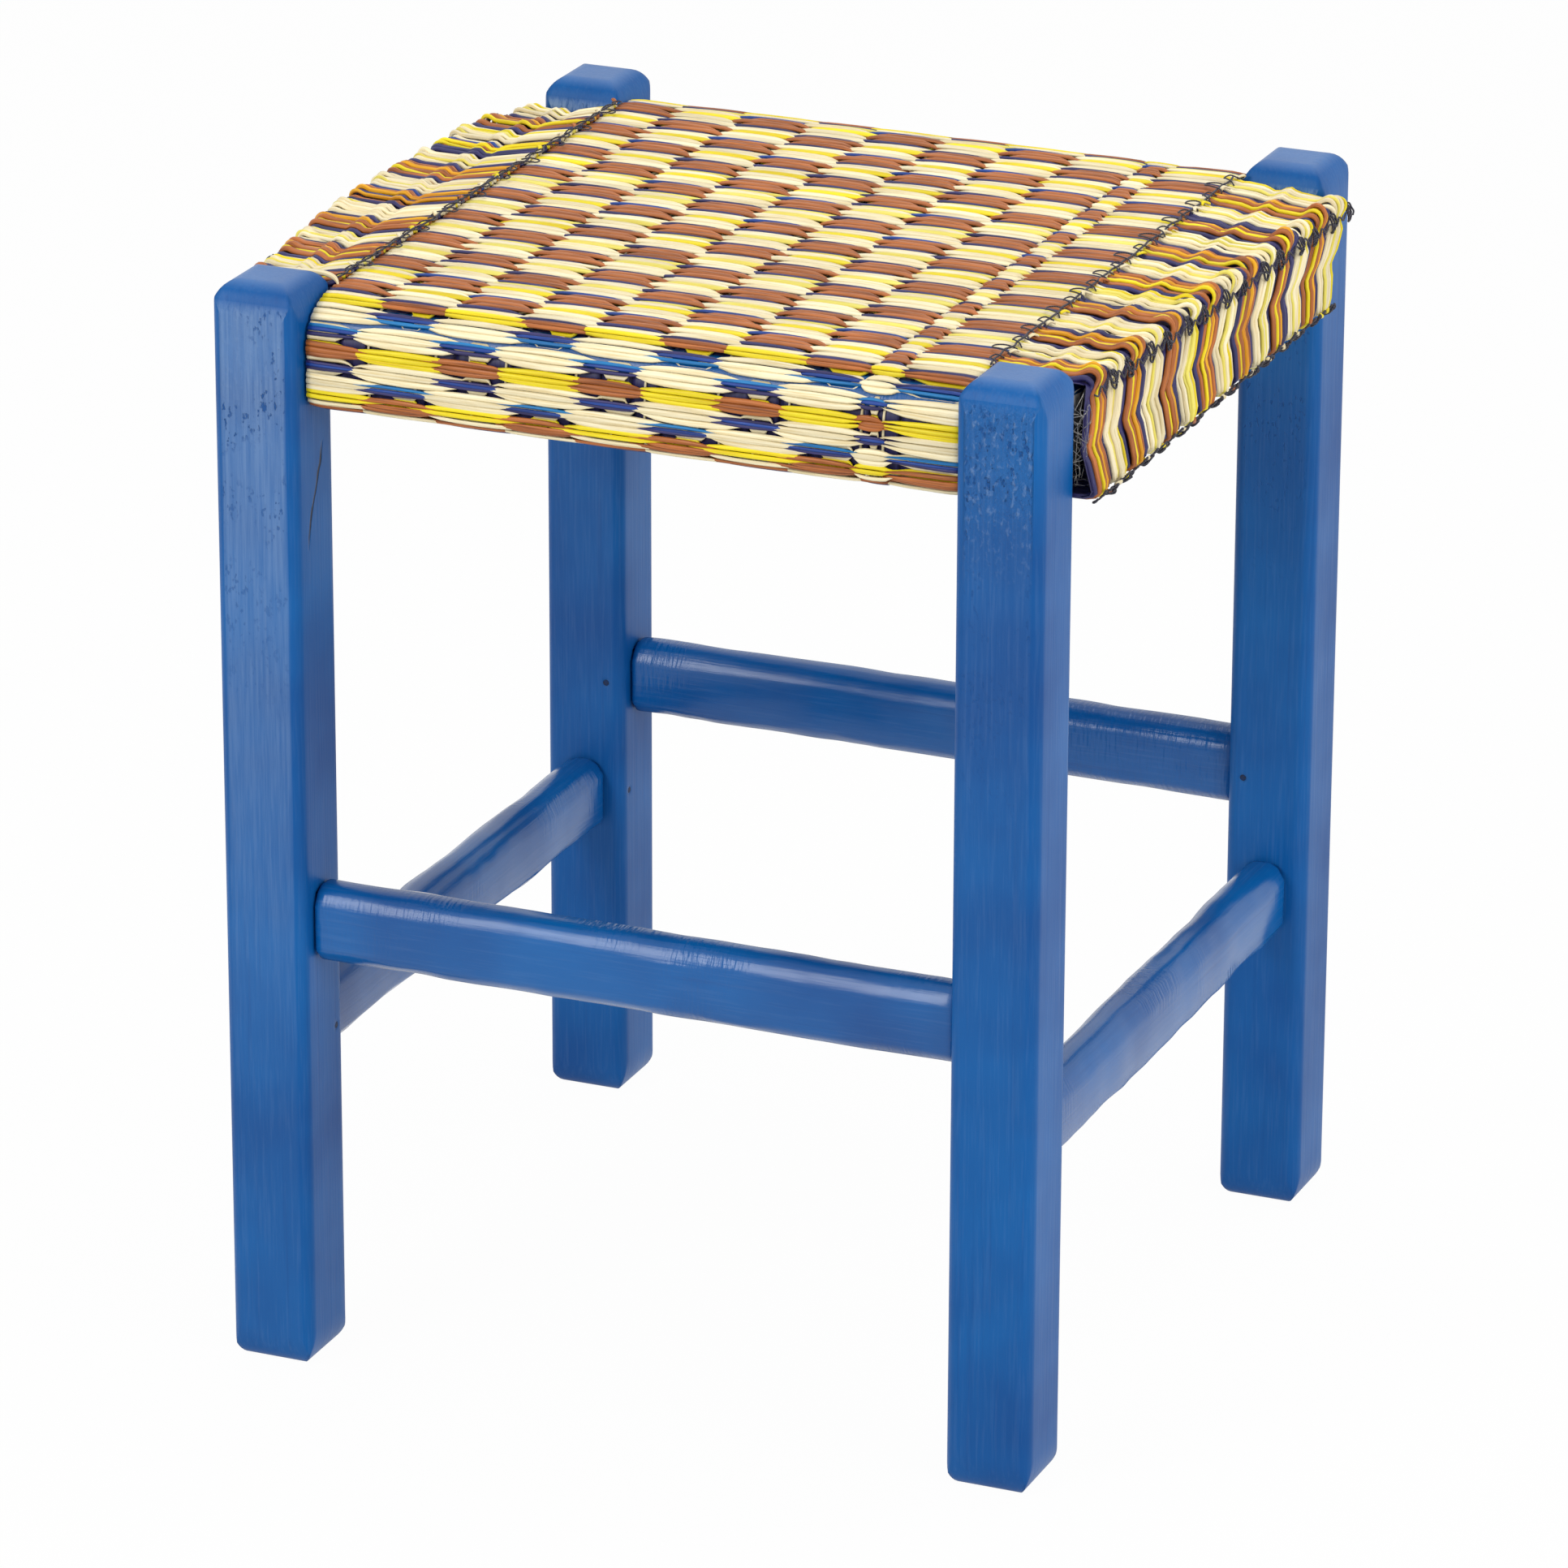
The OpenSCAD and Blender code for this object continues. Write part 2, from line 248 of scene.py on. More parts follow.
def cracked(shader, place, normal, height, colour, relief):
    """Adds a long drying crack to the inner side face of a front leg, below the seat."""
    y = shader.part(place, 1)
    wiggle = shader.spread(shader.noise(place, 70.0), 0.3, 0.7, -1.5 * MM, 1.5 * MM)
    line = shader.spread(height, CRACK_LOW, CRACK_HIGH, -LEG_OUTER + 11 * MM, -LEG_OUTER + 25 * MM)
    away = shader.math("ABSOLUTE", shader.math("SUBTRACT", y, shader.math("ADD", line, wiggle)))
    mask = shader.product(
        shader.spread(away, CRACK_HALF_WIDTH, CRACK_HALF_WIDTH + 0.6 * MM, 1.0, 0.0),
        shader.spread(height, CRACK_LOW - 2 * MM, CRACK_LOW + 8 * MM),
        shader.spread(height, CRACK_HIGH, CRACK_HIGH - 6 * MM),
        shader.spread(shader.part(normal, 0), 0.9, 0.97),
    )
    return shader.mix(mask, colour, CRACK), shader.bump(mask, -CRACK_DEPTH, 1.0, relief)


def straw(name, colour, deep):
    """Dyed straw: streaks along each strip, slow changes of tone along it and a soft gloss."""
    shader = Shader(name, IOR=1.5, Specular_IOR_Level=0.4)
    fibre = shader.add("Attribute", {}, output="Vector", attribute_name="fibre")
    tone = shader.add("Attribute", {}, output="Fac", attribute_name="tone")
    streaks = shader.noise(fibre, (38.0, 7.0, 90.0), 4.0, 0.62)
    slow = shader.noise(fibre, (26.0, 0.6, 57.0), 1.0)
    mixed = shader.mix(shader.spread(streaks, 0.44, 0.66, 0.0, 0.85), srgb(*colour), srgb(*deep))
    bright = shader.spread(tone, 0.0, 1.0, 0.86, 1.06)
    faded = shader.spread(slow, 0.3, 0.7, 0.92, 1.05)
    level = shader.product(bright, faded)
    grey = shader.add("CombineXYZ", {0: level, 1: level, 2: level})
    final = shader.mix(1.0, mixed, grey, "MULTIPLY")
    rough = shader.spread(streaks, 0.3, 0.75, 0.34, 0.58)
    relief = shader.bump(streaks, 0.2 * MM, 0.8)
    return shader.finish(Base_Color=final, Roughness=rough, Normal=relief)


def thread(name):
    """Dark sewing thread whose twist shows as slanted bands."""
    shader = Shader(name, Sheen_Weight=0.15, Sheen_Roughness=0.5)
    fibre = shader.add("Attribute", {}, output="Vector", attribute_name="fibre")
    bands = {"Vector": shader.stretched(fibre, (620.0, 1.0, 0.0)), "Scale": 1.0, "Distortion": 0.6}
    twist = shader.add("TexWave", bands, output="Fac", bands_direction="DIAGONAL")
    fuzz = shader.noise(fibre, (900.0, 5.0, 70.0), 3.0)
    shade = shader.product(twist, fuzz)
    colour = shader.mix(shader.spread(shade, 0.1, 0.55), srgb(20, 20, 34), srgb(66, 62, 78))
    relief = shader.bump(twist, 0.25 * MM, 0.8)
    rough = shader.spread(fuzz, 0.3, 0.7, 0.6, 0.85)
    return shader.finish(Base_Color=colour, Roughness=rough, Normal=relief)


def padding_fibre(name, hollow, tuft):
    """Loose stuffing whose hollows between its tufts are drawn darker, as painted shade."""
    shader = Shader(name, Sheen_Weight=0.3)
    place = shader.add("TexCoord", {}, output="Object")
    clumps = shader.noise(place, 150.0, 5.0, 0.7)
    hairs = shader.noise(place, (900.0, 900.0, 240.0), 4.0, 0.7)
    # painted shade: the hollow colour goes where the clumps sink
    colour = shader.mix(shader.spread(clumps, 0.46, 0.62), hollow, tuft)
    colour = shader.mix(shader.spread(hairs, 0.45, 0.6, 0.0, 0.35), colour, srgb(232, 226, 214))
    relief = shader.bump(shader.math("ADD", clumps, hairs), 1.2 * MM)
    rough = shader.spread(hairs, 0.3, 0.7, 0.8, 0.95)
    return shader.finish(Base_Color=colour, Roughness=rough, Normal=relief)


def nail_steel(name):
    """Dull nail steel with traces of the paint that was brushed over it."""
    shader = Shader(name, Metallic=0.6)
    place = shader.add("TexCoord", {}, output="Object")
    stains = shader.noise(place, 900.0, 4.0)
    colour = shader.mix(shader.spread(stains, 0.4, 0.6), srgb(34, 40, 58), srgb(22, 52, 96))
    relief = shader.bump(stains, 0.1 * MM)
    rough = shader.spread(stains, 0.3, 0.7, 0.45, 0.7)
    return shader.finish(Base_Color=colour, Roughness=rough, Normal=relief)


# ---- meshes


def new_object(name, data, materials=()):
    for material in materials:
        data.materials.append(material)
    obj = bpy.data.objects.new(name, data)
    bpy.context.scene.collection.objects.link(obj)
    return obj


# Sections across a strip, as shares of its half width and half thickness
FLAT = np.array([(-1, -0.2), (-0.6, -1), (0.6, -1), (1, -0.2), (0.66, 0.62), (0, 1), (-0.66, 0.62)])
ROUND = np.array([(math.cos(a), math.sin(a)) for a in np.arange(8) * math.pi / 4])


def strand(points, side, up, width, thick, slot=0, tone=None):
    """One strip: a centre line, the directions across and out of it, and its sizes at each point."""
    count = len(points)
    return {
        "points": np.asarray(points, float),
        "side": np.broadcast_to(side, (count, 3)),
        "up": np.broadcast_to(up, (count, 3)),
        "width": np.broadcast_to(width, count),
        "thick": np.broadcast_to(thick, count),
        "slot": slot,
        "tone": rng.random() if tone is None else tone,
    }


def strand_mesh(name, strands, materials, section=FLAT):
    """One mesh of closed strips, with the attributes that the straw and thread materials read."""
    corners, faces, slots, fibres, tones = [], [], [], [], []
    base, ring = 0, len(section)
    for s in list(strands):  # every strip is made before the seeds below are drawn
        count = len(s["points"])
        half_w = s["side"] * (s["width"] / 2)[:, None]
        half_t = s["up"] * (s["thick"] / 2)[:, None]
        rings = s["points"][:, None] + section[None, :, :1] * half_w[:, None]
        rings = rings + section[None, :, 1:] * half_t[:, None]
        corners.append(rings.reshape(-1, 3))
        i = base + np.arange(count - 1)[:, None] * ring
        j, k = np.arange(ring), (np.arange(ring) + 1) % ring
        quads = np.stack([i + j, i + k, i + k + ring, i + j + ring], -1).reshape(-1, 4)
        faces += quads.tolist()
        faces.append([base + n for n in reversed(range(ring))])
        faces.append([base + (count - 1) * ring + n for n in range(ring)])
        slots += [s["slot"]] * (len(quads) + 2)
        steps = np.linalg.norm(np.diff(s["points"], axis=0), axis=1)
        along = np.concatenate([[0], np.cumsum(steps)])
        around = np.arange(ring) / ring
        seed = rng.random() * 10
        fibre = np.empty((count, ring, 3))
        fibre[..., 0], fibre[..., 1], fibre[..., 2] = along[:, None] + seed, around, seed
        fibres.append(fibre.reshape(-1, 3))
        tones.append(np.full(count * ring, s["tone"]))
        base += count * ring
    mesh = bpy.data.meshes.new(name)
    mesh.from_pydata(np.concatenate(corners).tolist(), [], faces)
    mesh.polygons.foreach_set("material_index", slots)
    mesh.polygons.foreach_set("use_smooth", [True] * len(faces))
    for attribute, kind, field, values in (
        ("fibre", "FLOAT_VECTOR", "vector", fibres), ("tone", "FLOAT", "value", tones),
    ):
        data = mesh.attributes.new(attribute, kind, "POINT").data
        data.foreach_set(field, np.concatenate(values).ravel())
    mesh.update()
    return new_object(name, mesh, materials)


def unit(vectors):
    """Vectors scaled to a length of 1."""
    return vectors / np.maximum(np.linalg.norm(vectors, axis=1), 1e-9)[:, None]


def path_frame(points):
    """Directions across and out of a free path, for a round section."""
    ahead = unit(np.gradient(np.asarray(points, float), axis=0))
    side = np.cross(ahead, UP)
    weak = np.linalg.norm(side, axis=1) < 0.2
    side[weak] = np.cross(ahead[weak], [1.0, 0.0, 0.0])
    side = unit(side)
    return side, np.cross(side, ahead)


def smooth_path(points, per_span=6):
    """A Catmull-Rom curve through points."""
    points = np.asarray(points, float)
    padded = np.vstack([2 * points[0] - points[1], points, 2 * points[-1] - points[-2]])
    t = np.linspace(0, 1, per_span, endpoint=False)[:, None]
    out = []
    for a, b, c, d in zip(padded, padded[1:], padded[2:], padded[3:]):
        cubic = 3 * b - a - 3 * c + d
        out.append(0.5 * (2 * b + (c - a) * t + (2 * a - 5 * b + 4 * c - d) * t**2 + cubic * t**3))
    return np.vstack(out + [points[-1:]])


def cord_strand(points, diameter, per_span=5, taper=False):
    """A round cord through points."""
    curve = smooth_path(points, per_span)
    side, up = path_frame(curve)
    size = np.full(len(curve), diameter)
    if taper:
        size = size * np.linspace(1, 0.4, len(curve))
    return strand(curve, side, up, size, size)


def ease(value):
    """A smooth step from 0 to 1."""
    t = np.clip(value, 0, 1)
    return t * t * (3 - 2 * t)


def slow_noise(count, step, size, channels):
    """Smooth random runs, one per channel, with a new value about every step."""
    knots = rng.normal(0, size, (count // step + 3, channels))
    places = np.arange(count) / step
    low = np.floor(places).astype(int)
    t = ease(places - low)[:, None]
    return knots[low] * (1 - t) + knots[low + 1] * t


def sampled(at, lengths, pairs):
    """The pair at each of some arc lengths, from a table of pairs and theirs."""
    return np.stack([np.interp(at, lengths, pairs[:, k]) for k in (0, 1)], 1)


def smoothed(values, width):
    """A run of values, averaged over a soft window an odd number of values wide."""
    kernel = np.hanning(width) / np.hanning(width).sum()
    return np.convolve(np.pad(values, width // 2, "edge"), kernel, "valid")


def followed(path, samples, width):
    """A path resampled evenly: its arc lengths, its points and its outward normals, smoothed."""
    path = np.array(path)
    lengths = np.concatenate([[0], np.cumsum(np.linalg.norm(np.diff(path, axis=0), axis=1))])
    fine = np.linspace(0, lengths[-1], samples)
    line = sampled(fine, lengths, path)
    ahead = np.gradient(line, axis=0)
    ahead = unit(np.stack([smoothed(ahead[:, k], width) for k in (0, 1)], 1))
    return lengths, fine, line, np.stack([-ahead[:, 1], ahead[:, 0]], 1)


# ---- the mat between the seams

STRIP_T = 1.35 * MM
MAT_T = 5.5 * MM
FOLD_A, FOLD_B = 24 * MM, 16 * MM  # the top fold's reach back along the seat and down the face
EDGE_R = 6 * MM
TOP_ROWS, TOP_FILL = 17, (0.95, 1.10)  # how much of its room each bundle of a row fills
RETURN_ROWS = 3
CROWN, SINK, DOME = 1.1 * MM, 2.0 * MM, 0.6 * MM
STAGGER = 2.3 * MM
# the dark lining behind the floats is painted shade for the weave's openings
WARP_HEIGHT, SHADE_LINING_HEIGHT, SHADE_LINING_T = -1.4 * MM, -2.0 * MM, 0.3 * MM
COLUMN_STEPS = np.array([0, 0.08, 0.18, 0.32, 0.5, 0.68, 0.82, 0.92])

LEFT_BLOCK = 25.3 * MM
RIB_X, RIB_W = 96.2 * MM, 9.8 * MM
FULL_COLUMNS = 7


def mat_profile():
    """The weave's middle surface from front hem to back hem: arc length, (y, z) and outward normal."""
    y = MAT_HIGH.y - MAT_T / 2
    low, high = MAT_LOW.z + MAT_T / 2, MAT_HIGH.z - MAT_T / 2
    inner_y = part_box("seat_rail_back")[0].y - 3 * MM
    turns = np.radians(np.arange(0, 91, 7.5))
    under = [(-inner_y, low)]
    lower = [(-y + EDGE_R - EDGE_R * math.sin(a), low + EDGE_R - EDGE_R * math.cos(a)) for a in turns]
    upper = [(-y + FOLD_A - FOLD_A * math.cos(a), high - FOLD_B + FOLD_B * math.sin(a)) for a in turns]
    front = under + lower + upper
    lengths, fine, line, normal = followed(front + [(-a, b) for a, b in reversed(front)], 1600, 25)
    return fine, line, normal, (lengths[1] + lengths[len(turns)]) / 2


PROFILE_S, PROFILE, PROFILE_N, RETURN_LENGTH = mat_profile()
MAT_LENGTH = PROFILE_S[-1]


def on_profile(x, s, height):
    """Points at a place along X and along the profile, raised off it, with the directions there."""
    line, normal = sampled(s, PROFILE_S, PROFILE), sampled(s, PROFILE_S, PROFILE_N)
    points = np.column_stack([x, line + normal * np.asarray(height)[:, None]])
    up = np.column_stack([np.zeros(len(x)), normal])
    side = np.column_stack([np.zeros(len(x)), normal[:, 1], -normal[:, 0]])
    return points, side, up


# The places along X where the bundles swap over: a part column at each seam, and a narrow rib
COLUMNS = np.concatenate([
    [-SEAM_X],
    np.linspace(-SEAM_X + LEFT_BLOCK, RIB_X, FULL_COLUMNS + 1),
    [RIB_X + RIB_W, SEAM_X],
])
PITCH_X = COLUMNS[2] - COLUMNS[1]


def float_shape(edges, x, up_first):
    """A bundle at x, which lies over and under in turn between the edges: its height, the arch of its
    float, how far its strips have spread out, and whether it is on top."""
    column = np.clip(np.searchsorted(edges, x, "right") - 1, 0, len(edges) - 2)
    width = edges[column + 1] - edges[column]
    u = (x - edges[column]) / width
    u = np.where(column == 0, 0.5 + u / 2, u)
    u = np.where(column == len(edges) - 2, u / 2, u)
    near = np.minimum(u, 1 - u)
    arch = 1 - (2 * u - 1) ** 2
    open_out = ease(near / 0.18)
    short = np.minimum(1, width / PITCH_X * 1.7)
    over = (column + up_first) % 2 == 0
    height = np.where(over, CROWN * np.sqrt(arch) * short, -SINK * ease(near / 0.14))
    tucked = 0.35 + 0.65 * ease((SEAM_X - np.abs(x)) / (5 * MM))
    return height * tucked, arch, open_out, over


def mat_row(s, widths, bundles, phase, lift=1.0, leaf=0.0):
    """The strips of one row, from two bundles of (colour, share of the width). The first bundle is on
    top in the even columns if phase is even. Leaf draws the strips together where the bundles swap."""
    columns = np.arange(len(COLUMNS))
    tip = 0.62 - 0.42 * leaf
    for number, (width, strips) in enumerate(zip(widths, bundles)):
        pale_leaf = number and leaf
        total, across = sum(w for _, w in strips), 0.0
        for i, (colour, w) in enumerate(strips):
            middle, share = (across + w / 2) / total - 0.5, w / total * width
            across += w
            stagger = STAGGER * (1 if (i + number) % 2 else -1) + rng.normal(0, 1.1 * MM, len(columns))
            reach = (1.2 + (11 if number else 5) * leaf) * MM
            stagger += np.where((columns + phase + number) % 2 == 0, -reach, reach)
            stagger[[0, -1]] = 0
            stagger[-3:-1] *= 0.35
            edges = COLUMNS + stagger
            x = np.concatenate(
                [a + (b - a) * COLUMN_STEPS for a, b in zip(edges, edges[1:])] + [edges[-1:]]
            )
            height, arch, open_out, over = float_shape(edges, x, phase + number)
            if pale_leaf:
                height = np.where(over, height, 0.4 * height)
            height = (height + np.where(over, DOME * (1 - 4 * middle**2) * open_out, 0)) * lift
            shift = (0.22 if number else -0.22) * share * (1 - open_out)
            hidden = 0.35 + 0.65 * open_out if pale_leaf else 0.55
            lens = 1 - leaf * (1 - np.where(over, np.sqrt(arch), hidden))
            place = s + middle * width * lens + shift * lens + rng.normal(0, 0.2 * MM)
            points, side, up = on_profile(x, np.clip(place, 0, MAT_LENGTH), height)
            below = 0.52 + (0.36 if pale_leaf else -0.34) * open_out
            wide = share * np.where(over, tip + (1.08 - tip) * open_out, below)
            wide = wide * rng.uniform(0.95, 1.07) * lens
            thick = STRIP_T * min(1, 0.5 + share / (6 * MM))
            yield strand(points, side, up, wide, thick, SLOTS[colour])


def top_colours():
    """The two bundles of a row on the seat, each with the odd strip of another colour."""
    edge = "blue" if rng.random() < 0.3 else "navy"
    brown = [("navy", 0.75), ("brown", 1.1), ("brown", 1.2), ("brown", 1.05), (edge, 0.75)]
    middle = "pale_yellow" if rng.random() < 0.25 else "yellow"
    outer = "pale_yellow" if rng.random() < 0.4 else "cream"
    cream = [("cream", 1.1), ("cream", 1.1), (middle, 1.1), ("cream", 1.0), (outer, 0.6)]
    return brown, cream


def even(colours):
    return [(colour, 1.0) for colour in colours.split()]


# From the fold down, the rows on the front and back faces: the dark and the pale bundle, the phase,
# the room that the row takes in mm and how much of it the dark and the pale floats fill
FACE = [
    ("navy brown brown", "cream yellow yellow", 1, 8.5, 0.92, 0.98),
    ("navy blue light_blue", "cream cream cream", 1, 9.0, 0.58, 0.97),
    ("light_blue blue navy", "cream cream cream", 0, 8.0, 0.60, 1.02),
    ("brown brown brown", "yellow yellow yellow", 0, 6.5, 1.0, 1.0),
    ("navy blue navy", "cream cream cream", 0, 7.0, 0.60, 1.12),
    ("light_blue blue navy", "cream cream cream", 1, 6.2, 0.66, 1.16),
    ("brown brown brown", "yellow yellow cream", 1, 6.5, 1.0, 1.0),
]
UNDER = ("brown navy brown", "cream cream cream")
FACE_LIFT, FACE_LEAF = 0.85, 0.72


def woven_mat(materials):
    """The seat's rows of floats, the finer rows on the front and back faces, and the cords between."""
    face_end = RETURN_LENGTH + sum(row[3] * MM for row in FACE)
    top_pitch = (MAT_LENGTH - 2 * face_end) / TOP_ROWS
    widths = [top_pitch * fill for fill in TOP_FILL]
    top, front, back = [corner_strand()], [], []
    for row in range(TOP_ROWS):
        top += mat_row(face_end + (row + 0.5) * top_pitch, widths, top_colours(), row)
    rows, s = [], face_end
    for dark, pale, phase, pitch, *fill in FACE:
        rows.append((s - pitch * MM / 2, [pitch * MM * f for f in fill], dark, pale, phase))
        s -= pitch * MM
    pitch = RETURN_LENGTH / RETURN_ROWS
    rows += [(s - (n + 0.5) * pitch, [pitch] * 2, *UNDER, n) for n in range(RETURN_ROWS)]
    for s, widths, dark, pale, phase in rows:
        bundles = even(dark), even(pale)
        mirrored = [bundle[::-1] for bundle in bundles]
        front += mat_row(s, widths, mirrored, phase, FACE_LIFT, FACE_LEAF)
        back += mat_row(MAT_LENGTH - s, widths, bundles, phase, FACE_LIFT, FACE_LEAF)
    return [
        strand_mesh("seat_weave_top", top, materials),
        strand_mesh("seat_weave_front", front, materials),
        strand_mesh("seat_weave_back", back, materials),
        strand_mesh("seat_weave_warp", warp_cords(), materials, ROUND),
        strand_mesh("seat_weave_shade_lining", shade_lining(), materials),
    ]


def hem_to_hem(x, s, height, width, thick, colour, tone=None):
    """A strip across the rows at x, at a height over the weave's middle."""
    points, _, up = on_profile(x, s, np.full(len(s), height))
    return strand(points, (-1.0, 0.0, 0.0), up, width, thick, SLOTS[colour], tone)


def warp_cords():
    """Thin cords from hem to hem that the bundles pass over and under."""
    s = np.linspace(0.5 * MM, MAT_LENGTH - 0.5 * MM, 260)
    middles = (COLUMNS[1:-3] + COLUMNS[2:-2]) / 2
    for x in np.sort(np.concatenate([COLUMNS[1:-1], middles])):
        wobble = x + rng.normal(0, 0.3 * MM) + 0.3 * MM * np.sin(s * 90 + rng.random() * 6)
        yield hem_to_hem(wobble, s, WARP_HEIGHT, 1.1 * MM, 1.0 * MM, "cream")


def shade_lining():
    """Flat dark strips from hem to hem behind the floats: painted shade, a dark sheet that stands in for the
    shade seen through the weave's small openings.
    """
    s = np.linspace(1 * MM, MAT_LENGTH - 1 * MM, 200)
    edges = np.linspace(-SEAM_X + 0.5 * MM, SEAM_X - 0.5 * MM, 23)
    for low, high in zip(edges, edges[1:]):
        x = np.full(len(s), (low + high) / 2)
        yield hem_to_hem(x, s, SHADE_LINING_HEIGHT, high - low, SHADE_LINING_T, "navy", 0.0)


def corner_strand():
    """A loose strip that lies along the back of the front left leg's top and turns down at the seam."""
    inner, back = -LEG_INNER, -LEG_INNER + 1.2 * MM
    path = smooth_path([
        (-LEG_OUTER - 4 * MM, back + 1.6 * MM, SEAT_Z - 3 * MM),
        (-LEG_OUTER + 6 * MM, back + 0.4 * MM, SEAT_Z + 0.6 * MM),
        (-LEG_OUTER + 18 * MM, back, SEAT_Z + 1.9 * MM),
        (inner - 4 * MM, back, SEAT_Z + 2.2 * MM),
        (inner + 2.2 * MM, back - 1.0 * MM, SEAT_Z - 0.6 * MM),
        (inner + 2.6 * MM, back - 3.4 * MM, SEAT_Z - 8 * MM),
    ], 8)
    turn, zero = np.linspace(0, 1.3, len(path)), np.zeros(len(path))
    side = np.column_stack([zero, np.cos(turn), np.sin(turn)])
    up = np.column_stack([zero, -np.sin(turn), np.cos(turn)])
    return strand(path, side, up, np.linspace(3.0, 2.0, len(path)) * MM, 1.2 * MM, SLOTS["cream"])


# ---- the panels round the side rails

PANEL_T = 2.1 * MM
# the dark lining behind a panel's straws is painted shade for the openings between its groups
PANEL_SHADE_LINING_HEIGHT, PANEL_SHADE_LINING_CLEAR = -2.4 * MM, 4 * MM
GROUPS = 14
TIE_BELOW_FOLD = 4 * MM
SHOULDER_DROP = 5.5 * MM  # how far a panel's top slopes down from its seam to its fold
PALE_GROUP = [
    ("cream", 2.6), ("cream", 2.3), ("pale_yellow", 1.3), ("cream", 2.6), ("cream", 2.4), ("yellow", 1.4),
    ("cream", 2.5),
]
DARK_GROUP = [
    ("navy", 2.9), ("brown", 3.3), ("yellow", 1.8), ("brown", 3.3), ("orange", 2.3), ("brown", 3.3),
    ("navy", 2.9),
]
ALSO = {"navy": "blue", "yellow": "orange", "brown": "navy", "orange": "yellow", "cream": "pale_yellow"}
# How far the fold and the hem stand past the CAD face, in mm, from the front to the back
SWELL = {
    1: ((0, 1), (-10, 0), (0, 1), (-1, -1)),
    -1: ((0, 0.1, 0.4, 0.85, 1), (-4, 1, 10, 9, -6), (0, 0.4, 1), (-2, 4, -5)),
}
PANEL_Y = SIDE_HIGH.y - 1.5 * MM
# Ridges and hollows across every strip: their mark, how far past it, their height and half width in mm
RIDGES = [("fold", 5, -1.5, 4.5), ("rib", 4, 1.5, 4), ("rib", -2, -1.2, 4.5), ("flap", 0, -1.0, 6)]


def panel_profile(side, share):
    """A side panel's outer face from seam to return, at a share of its length from the front: arc
    length, (x, z) and outward normal, and the arc lengths of its landmarks."""
    at, fold_swell, hem_at, hem_swell = SWELL[side]
    fold_x = SIDE_HIGH.x + np.interp(share, at, fold_swell) * MM
    hem_x = SIDE_HIGH.x + np.interp(share, hem_at, hem_swell) * MM
    hem, fold_r, hem_r = SIDE_LOW.z, 7 * MM, 5 * MM
    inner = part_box("seat_rail_right")[0].x - 3 * MM
    fold_z = SEAT_Z - SHOULDER_DROP - fold_r
    turns = np.radians(np.arange(0, 91, 10))
    path = [(SEAM_X + 0.5 * MM, SEAT_Z - 0.4 * MM)]
    path += [(fold_x - fold_r + fold_r * math.sin(a), fold_z + fold_r * math.cos(a)) for a in turns]
    path += [(hem_x - hem_r + hem_r * math.cos(a), hem + hem_r - hem_r * math.sin(a)) for a in turns]
    path += [(inner, hem)]
    lengths, fine, line, normal = followed(path, 400, 15)
    marks = {
        "rib": lengths[1] * 0.5,
        "fold": (lengths[1] + lengths[len(turns)]) / 2,
        "flap": (lengths[len(turns)] + lengths[len(turns) + 1]) / 2,
        "hem": lengths[2 * len(turns)] - 3 * MM,
        "end": lengths[-1],
    }
    return fine, line, normal, marks


# Where the strips cross each mark, as shifts in mm along Y from the seam: at the panel's front and back
LEANS = {
    1: {"rib": (8, 3), "fold": (18, 8), "flap": (-2, -8), "hem": (-3, -8), "end": (-2, -2)},
    -1: {"rib": (-8, -10), "fold": (4, 2), "flap": (-6, -8), "hem": (-2, -4), "end": (-2, -2)},
}


def bump_at(v, centre, half_width):
    t = np.clip((v - centre) / half_width, -1, 1)
    return 0.5 + 0.5 * np.cos(np.pi * t)


def panel_shift(side, share, v, marks):
    """Y along the panel for a strip at a share of its length, at arc lengths v."""
    knots = [0.0] + [marks[k] for k in LEANS[side]]
    shifts = [0.0] + [(a + (b - a) * share) * MM for a, b in LEANS[side].values()]
    fine = np.linspace(0, marks["end"], 200)
    smooth = smoothed(np.interp(fine, knots, shifts), 11)
    return -PANEL_Y + 2 * PANEL_Y * share + np.interp(v, fine, smooth)


def panel_points(side, share, v, y, lift, clear=1 * MM):
    """Points on a panel at arc lengths v and places y, raised off it and clear of the legs, and the
    directions out of it."""
    fine, line, normal, _ = panel_profile(side, share)
    out = sampled(v, fine, normal)
    flat = sampled(v, fine, line) + out * np.asarray(lift)[:, None]
    beside_leg = flat[:, 0] < LEG_OUTER + 2 * MM
    y = np.where(beside_leg, np.clip(y, clear - LEG_INNER, LEG_INNER - clear), y)
    points = np.column_stack([side * flat[:, 0], y, flat[:, 1]])
    return points, np.column_stack([side * out[:, 0], np.zeros(len(v)), out[:, 1]])


def panel_strip(side, share, v, y, lift, width, thick, colour, tone=None, clear=1 * MM):
    """A strip on a panel, along the points that panel_points gives."""
    points, up = panel_points(side, share, v, y, lift, clear)
    across = unit(np.cross(up, np.gradient(points, axis=0)))
    return strand(points, across, up, width, thick, SLOTS[colour], tone)


def panel_groups():
    """A panel's groups, as (strips, first share, last share), with each strip (colour, share, width)."""
    groups = []
    for n in range(GROUPS):
        factor = rng.uniform(0.88, 1.12)
        groups.append([
            (ALSO.get(colour, colour) if rng.random() < 0.1 else colour, w * factor * rng.uniform(0.85, 1.15))
            for colour, w in (PALE_GROUP if n % 2 else DARK_GROUP)
        ])
    total, place = sum(w for g in groups for _, w in g), 0.0
    for group in groups:
        start, strips = place, []
        for colour, w in group:
            strips.append((colour, (place + w / 2) / total, w / total * 2 * PANEL_Y))
            place += w
        yield strips, start / total, place / total


